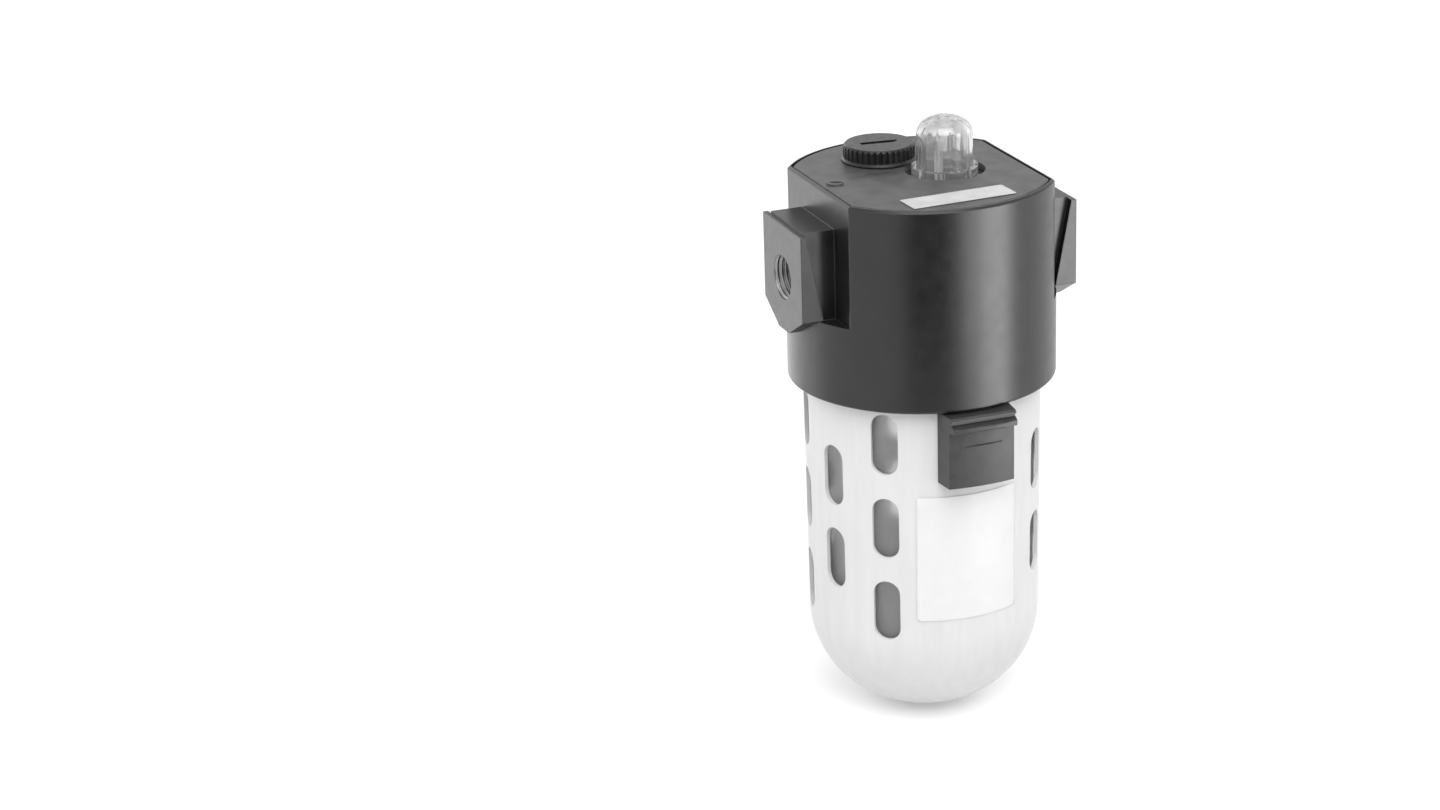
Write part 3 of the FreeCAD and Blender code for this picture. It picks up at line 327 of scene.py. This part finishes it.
# %% Springs
def coil(name, node, body):
    """Copy of a spring's solid that takes its place and rides with the given body."""
    obj = bpy.data.objects.new(name, frame["nodes"][node].data.copy())
    bpy.context.scene.collection.objects.link(obj)
    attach(obj, body)
    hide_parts(node)
    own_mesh(obj)


coil("latch_coil", "latch_spring", "bowl_set")
coil("valve_coil", "bowl_valve_spring", "unit")

# %% [markdown]
# The other added pieces are sheets: threads, labels and a dark flag of the studio. One helper makes a sheet
# out of rows of points, each row joined to the next. A piece then needs no more than a formula for its
# points.

# %% Helper for sheets
def surface(name, rows, mat, closed=False):
    """Object with a smooth sheet through rows of points. closed joins each row's end to its start."""
    mesh = bmesh.new()
    grid = [[mesh.verts.new(point) for point in row] for row in rows]
    for low, high in zip(grid, grid[1:]):
        steps = len(low) if closed else len(low) - 1
        for i in range(steps):
            j = (i + 1) % len(low)
            mesh.faces.new((low[i], low[j], high[j], high[i])).smooth = True
    data = bpy.data.meshes.new(name)
    mesh.to_mesh(data)
    mesh.free()
    data.materials.append(mat)
    obj = bpy.data.objects.new(name, data)
    bpy.context.scene.collection.objects.link(obj)
    print(name, "has", len(data.polygons), "faces")
    return obj


# %% [markdown]
# Both ports are tapped for a pipe. The thread is a sheet whose radius follows a saw-tooth along a helix,
# just inside the bore of the body. It is bare metal, since paint is kept out of a tapped hole, and its
# ridges fade out over the lead at the mouth as a real tap leaves them.

# %% Port threads
bare = material("tapped_metal", Roughness=0.3, Metallic=1.0)
tint(bare, grain(bare, 1.2), dark=(0.24, 0.24, 0.245), light=(0.34, 0.34, 0.345))
span(bare, grain(bare, 0.8), low=0.3, high=0.45)
relief(bare, grain(bare, 0.25), height_mm=0.005, strength=0.4)
made(bare)

BORE_R = 6.9 * MM
THREAD_ROOT = BORE_R - 0.03 * MM         # just clear of the bore's wall
THREAD_CREST = 6.05 * MM
THREAD_PITCH = 1.41 * MM
THREAD_LENGTH = 12.0 * MM
THREAD_LEAD = 1.2 * MM                   # depth at which the ridges reach their full height
THREAD_INSET = 0.02 * MM                 # from the port's face to the first turn
THREAD_SIDES = 60
THREAD_STEPS = 10                        # rows of points along one pitch


def port_thread(name, mouth_x, inward):
    """Thread of a port whose mouth is at mouth_x. inward is 1 or -1, the way along X into the body."""
    rows = []
    count = int(THREAD_LENGTH / THREAD_PITCH * THREAD_STEPS)
    for i in range(count + 1):
        depth = i * THREAD_PITCH / THREAD_STEPS
        full = min(1.0, depth / THREAD_LEAD)
        row = []
        for k in range(THREAD_SIDES):
            share = (i / THREAD_STEPS + k / THREAD_SIDES) % 1.0
            ridge = 1 - abs(2 * share - 1)
            r = THREAD_ROOT - (THREAD_ROOT - THREAD_CREST) * ridge * full
            a = 2 * math.pi * k / THREAD_SIDES
            row.append((mouth_x + inward * (depth + THREAD_INSET), r * math.cos(a), r * math.sin(a)))
        rows.append(row)
    obj = surface(name, rows, bare, closed=True)
    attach(obj, "unit")


port_thread("inlet_thread", INLET_X, 1)
port_thread("outlet_thread", OUTLET_X, -1)

# %% [markdown]
# The guard carries a blank label on its front, and the cover a short blank strip. Both are thin rounded
# sheets. The helper takes a function that says where a point of the flat label comes to lie, so the same
# code wraps one round the guard and lays one flat on the cover.

# %% Helper for labels
LABEL_PROUD = 0.14 * MM                  # outer face of a label above what it sticks to
LABEL_T = 0.12 * MM
LABEL_COLUMNS = 32
CORNER_TURNS = [math.radians(a) for a in (0, 15, 30, 45, 60, 75, 84)]


def label(name, width, height, corner, place, mat):
    """Thin sheet with rounded corners. place(u, v) is where a point of the flat label lies."""
    half_w, half_h = width / 2, height / 2
    top = [half_h - corner + corner * math.cos(a) for a in CORNER_TURNS]
    levels = top + [half_h - corner, 0, corner - half_h] + [-v for v in reversed(top)]
    rows = []
    for v in levels:
        over = max(0.0, abs(v) - (half_h - corner))
        reach = half_w - corner + math.sqrt(max(0.0, corner ** 2 - over ** 2))
        rows.append([place(reach * (2 * i / LABEL_COLUMNS - 1), v) for i in range(LABEL_COLUMNS + 1)])
    obj = surface(name, rows, mat)
    solid = obj.modifiers.new("thickness", "SOLIDIFY")
    solid.thickness = LABEL_T
    solid.offset = -1
    return obj


# %% [markdown]
# The front label is white vinyl with a soft sheen. It has to follow the guard's slight taper, so the radius
# that it lies on is worked out for each height.

# %% Front label
vinyl = material("white_vinyl", Roughness=0.35)
tint(vinyl, grain(vinyl, 6.0), dark=grey(0.82), light=grey(0.85))
span(vinyl, grain(vinyl, 3.0), low=0.3, high=0.42)
relief(vinyl, grain(vinyl, 1.5), height_mm=0.008, strength=0.4)
made(vinyl)

GUARD_TOP_R, GUARD_TOP_Z = 36.9 * MM, -36.2 * MM
GUARD_LOW_R, GUARD_LOW_Z = 36.2 * MM, -113.5 * MM
FRONT_TOP_Z, FRONT_FOOT_Z = -64.8 * MM, -105.7 * MM
FRONT_TURN = math.radians(-0.15)
FRONT_W = 34.0 * MM
FRONT_CORNER = 1.0 * MM


def on_guard(u, v):
    """Place on the guard's wall of a point of the flat front label."""
    z = (FRONT_TOP_Z + FRONT_FOOT_Z) / 2 + v
    share = (z - GUARD_LOW_Z) / (GUARD_TOP_Z - GUARD_LOW_Z)
    r = GUARD_LOW_R + (GUARD_TOP_R - GUARD_LOW_R) * share
    a = FRONT_TURN + u / r
    r += LABEL_PROUD
    return (AXIS_X + r * math.sin(a), -r * math.cos(a), z)


front_label = label("front_label", FRONT_W, FRONT_TOP_Z - FRONT_FOOT_Z, FRONT_CORNER, on_guard, vinyl)
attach(front_label, "bowl_set")

# %% [markdown]
# The strip on the cover is a greyer foil, with a mottled surface. It lies flat and was stuck on a little
# askew, so its place is a turn and a shift in the plane of the cover.

# %% Top strip
foil = material("strip_foil", Roughness=0.4)
tint(foil, grain(foil, 5.0, detail=5.0), dark=grey(0.5), light=grey(0.62))
span(foil, grain(foil, 1.5), low=0.34, high=0.46)
relief(foil, grain(foil, 0.8), height_mm=0.01, strength=0.5)
made(foil)

STRIP_X, STRIP_Y = AXIS_X - 0.4 * MM, -29.3 * MM
STRIP_W, STRIP_H = 33.8 * MM, 9.9 * MM
STRIP_CORNER = 0.6 * MM
STRIP_TURN = math.radians(2.5)


def on_cover(u, v):
    """Place on the cover of a point of the flat strip."""
    c, s = math.cos(STRIP_TURN), math.sin(STRIP_TURN)
    return (STRIP_X + u * c - v * s, STRIP_Y + u * s + v * c, COVER_Z + LABEL_PROUD)


top_strip = label("top_strip", STRIP_W, STRIP_H, STRIP_CORNER, on_cover, foil)
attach(top_strip, "unit")

# %% [markdown]
# Plain soft light comes from three large lamps: one at each side, and a stronger one above the front. The
# two at the sides light the object but don't show in its gloss, because smaller cards draw the highlights
# there.

# %% Lamps
CENTRE = Vector((AXIS_X, 0, (COVER_Z + FLOOR_Z) / 2))
LAMP_DISTANCE = 1.1
LAMPS = {
    "side_left": {"azimuth": -110, "elevation": 25, "width": 0.8, "height": 1.0, "power": 3.2},
    "side_right": {"azimuth": 95, "elevation": 25, "width": 0.8, "height": 1.0, "power": 4.4},
    "overhead": {"azimuth": -15, "elevation": 52, "width": 0.9, "height": 0.9, "power": 8.8}}


def direction(azimuth, elevation):
    """Unit vector away from the object, by angles in degrees. Azimuth 0 is in front, 90 at the right."""
    a, e = math.radians(azimuth), math.radians(elevation)
    return Vector((math.sin(a) * math.cos(e), -math.cos(a) * math.cos(e), math.sin(e)))


def softbox(name, azimuth, elevation, distance, width, height, power):
    """Area lamp of so many watts that faces the object."""
    away = direction(azimuth, elevation)
    data = bpy.data.lights.new(name, "AREA")
    data.shape = "RECTANGLE"
    data.size, data.size_y = width, height
    data.energy = power
    lamp = bpy.data.objects.new(name, data)
    lamp.location = CENTRE + away * distance
    lamp.rotation_mode = "QUATERNION"
    lamp.rotation_quaternion = away.to_track_quat("Z", "Y")
    bpy.context.scene.collection.objects.link(lamp)
    print(name, "of %.2f W" % power)
    return lamp


lamps = {name: softbox(name, distance=LAMP_DISTANCE, **values) for name, values in LAMPS.items()}
lamps["side_left"].visible_glossy = False
lamps["side_right"].visible_glossy = False

# %% [markdown]
# A photographer draws long highlights on dark paint with white cards. Here each card is an upright panel of
# light that stands on the floor and is seen in glossy surfaces alone. It is set by its radiance, which is
# how bright it looks in the paint, whatever its size.

# %% Cards
CARD_H = 0.3
CARDS = {
    "card_right": {"azimuth": 37, "distance": 0.25, "width": 0.12, "radiance": 6.5},
    "card_left": {"azimuth": -146, "distance": 0.25, "width": 0.34, "radiance": 0.8},
    "card_flange": {"azimuth": 16, "distance": 0.33, "width": 0.045, "radiance": 4.5}}


def glossy_only(obj):
    """Keeps an object out of everything but glossy reflections."""
    obj.visible_camera = False
    obj.visible_diffuse = False
    obj.visible_transmission = False


def card(name, azimuth, distance, width, radiance):
    """Upright panel of light on the floor, seen in glossy surfaces alone."""
    lamp = softbox(name, azimuth, 0, distance, width, CARD_H, radiance * math.pi * width * CARD_H)
    lamp.location.z = FLOOR_Z + CARD_H / 2
    glossy_only(lamp)


for name, values in CARDS.items():
    card(name, **values)

# %% [markdown]
# The surroundings are white to the camera, in reflections and through clear pieces, while they light the
# object at half that level. A white picture then needs no more light on the object, which would bleach it.

# %% White surroundings
WHITE = 1.0
WORLD_LIGHT = 0.5


def seen_white(tree, plain, shown):
    """Value that is shown for rays from the camera, reflections and clear pieces, and plain otherwise."""
    path = tree.nodes.new("ShaderNodeLightPath")
    seen = path.outputs["Is Camera Ray"]
    for kind in ("Is Glossy Ray", "Is Transmission Ray"):
        either = tree.nodes.new("ShaderNodeMath")
        either.operation = "MAXIMUM"
        tree.links.new(seen, either.inputs[0])
        tree.links.new(path.outputs[kind], either.inputs[1])
        seen = either.outputs["Value"]
    level = tree.nodes.new("ShaderNodeMapRange")
    level.inputs["To Min"].default_value = plain
    level.inputs["To Max"].default_value = shown
    tree.links.new(seen, level.inputs["Value"])
    return level.outputs["Result"]


world = bpy.data.worlds.new("studio")
world.use_nodes = True
bpy.context.scene.world = world
sky = world.node_tree.nodes["Background"]
sky.inputs["Color"].default_value = (1, 1, 1, 1)
world.node_tree.links.new(seen_white(world.node_tree, WORLD_LIGHT, WHITE), sky.inputs["Strength"])
print("world lights at", WORLD_LIGHT, "and shows as", WHITE)

# %% [markdown]
# The floor is a large pale disc. Far from the object it gets less light from the lamps, so it would look
# grey there. A glow that rises with distance keeps it even. It is seen by the camera, in reflections and
# through clear pieces only, and the object's shadow still falls on the floor.

# %% Floor
FLOOR_R = 4.0
FLOOR_SIDES = 96
FLOOR_GAP = 0.3 * MM                     # the disc lies this much below the guard
NO_LIGHT = 0.0                           # the glow lights nothing round it
GLOW_NEAR = (0.4, 0.33)                  # distance from the middle of the floor, strength
GLOW_FAR = (1.4, 0.62)


def glow_by_distance(mat, seen, near, far):
    """Emission that rises from the near to the far pair of distance and strength, times seen."""
    nodes, links = mat.node_tree.nodes, mat.node_tree.links
    place = nodes.new("ShaderNodeTexCoord")
    length = nodes.new("ShaderNodeVectorMath")
    length.operation = "LENGTH"
    links.new(place.outputs["Object"], length.inputs[0])
    glow = nodes.new("ShaderNodeMapRange")
    glow.inputs["From Min"].default_value, glow.inputs["To Min"].default_value = near
    glow.inputs["From Max"].default_value, glow.inputs["To Max"].default_value = far
    links.new(length.outputs["Value"], glow.inputs["Value"])
    shown = nodes.new("ShaderNodeMath")
    shown.operation = "MULTIPLY"
    links.new(glow.outputs["Result"], shown.inputs[0])
    links.new(seen, shown.inputs[1])
    links.new(shown.outputs["Value"], shader_of(mat).inputs["Emission Strength"])


floor_mat = material("studio_floor", Roughness=0.9, Specular_IOR_Level=0.0)
tint(floor_mat, grain(floor_mat, 400.0, detail=2.0), dark=grey(0.78), light=grey(0.80))
shader_of(floor_mat).inputs["Emission Color"].default_value = (1, 1, 1, 1)
glow_by_distance(floor_mat, seen_white(floor_mat.node_tree, NO_LIGHT, WHITE), GLOW_NEAR, GLOW_FAR)
made(floor_mat)

bpy.ops.mesh.primitive_circle_add(vertices=FLOOR_SIDES, radius=FLOOR_R, fill_type="NGON",
                                  location=(AXIS_X, 0, FLOOR_Z - FLOOR_GAP))
floor = bpy.context.object
floor.name = "floor"
floor.data.materials.append(floor_mat)
print("floor of %.1f m radius" % FLOOR_R)

# %% [markdown]
# A dark flag stands between the camera and the highlight. Only glossy surfaces see it. Without it the paint
# would mirror the white floor in front and look flat.

# %% Dark flag
FLAG_AZIMUTH, FLAG_DISTANCE = -16, 0.33
FLAG_W, FLAG_H = 0.24, 0.26

flag_mat = material("flag_cloth", Roughness=1.0, Specular_IOR_Level=0.0)
tint(flag_mat, grain(flag_mat, 5.0), dark=grey(0.004), light=grey(0.007))
made(flag_mat)

flag_away = direction(FLAG_AZIMUTH, 0)
flag_side = Vector((flag_away.y, -flag_away.x, 0)) * FLAG_W / 2
flag_foot = Vector((AXIS_X, 0, FLOOR_Z)) + flag_away * FLAG_DISTANCE
flag_rise = Vector((0, 0, FLAG_H))
flag = surface("flag", [
    [flag_foot - flag_side, flag_foot + flag_side],
    [flag_foot - flag_side + flag_rise, flag_foot + flag_side + flag_rise]], flag_mat)
glossy_only(flag)
flag.visible_shadow = False

# %% [markdown]
# The camera stands where the photographer's stood. It was worked out from the edges of the body and guard
# in the picture: the direction and distance of a point on the bowl's axis, the pixel on which that point
# falls, and the focal length in pixels.

# %% Camera
IMAGE_W, IMAGE_H = 1440, 810
AIM_Z = -33 * MM
AIM = Vector((AXIS_X, 0, AIM_Z))
AIM_PIXEL = (921.39, 358.52)
FOCAL_PIXELS = 3179.14
VIEW_AZIMUTH, VIEW_ELEVATION, VIEW_ROLL = -23.585, 19.588, 0.598
VIEW_DISTANCE = 987.5 * MM
SENSOR_W = 36.0
CLIP_START, CLIP_END = 0.01, 50


def photo_camera():
    """Camera that looks at AIM and shows it at AIM_PIXEL, turned about its line of sight by VIEW_ROLL."""
    away = direction(VIEW_AZIMUTH, VIEW_ELEVATION)
    right = (-away).cross(Vector((0, 0, 1))).normalized()
    up = right.cross(-away)
    looking = Matrix((right, up, away))
    sight = Vector((AIM_PIXEL[0] - IMAGE_W / 2, IMAGE_H / 2 - AIM_PIXEL[1], -FOCAL_PIXELS)).normalized()
    aside = Vector((0, 0, -1)).rotation_difference(sight).to_matrix()
    rolled = Matrix.Rotation(math.radians(VIEW_ROLL), 3, "Z")
    turn = (aside @ rolled @ looking).transposed().to_4x4()
    data = bpy.data.cameras.new("photo_camera")
    data.sensor_width = SENSOR_W
    data.lens = FOCAL_PIXELS / IMAGE_W * SENSOR_W
    data.clip_start, data.clip_end = CLIP_START, CLIP_END
    obj = bpy.data.objects.new("photo_camera", data)
    obj.matrix_world = Matrix.Translation(AIM + away * VIEW_DISTANCE) @ turn
    bpy.context.scene.collection.objects.link(obj)
    return obj


camera = photo_camera()
bpy.context.scene.camera = camera
bpy.context.scene.view_settings.view_transform = "Standard"
print("camera with a lens of %.1f mm, %.2f m from the object" % (camera.data.lens, VIEW_DISTANCE))
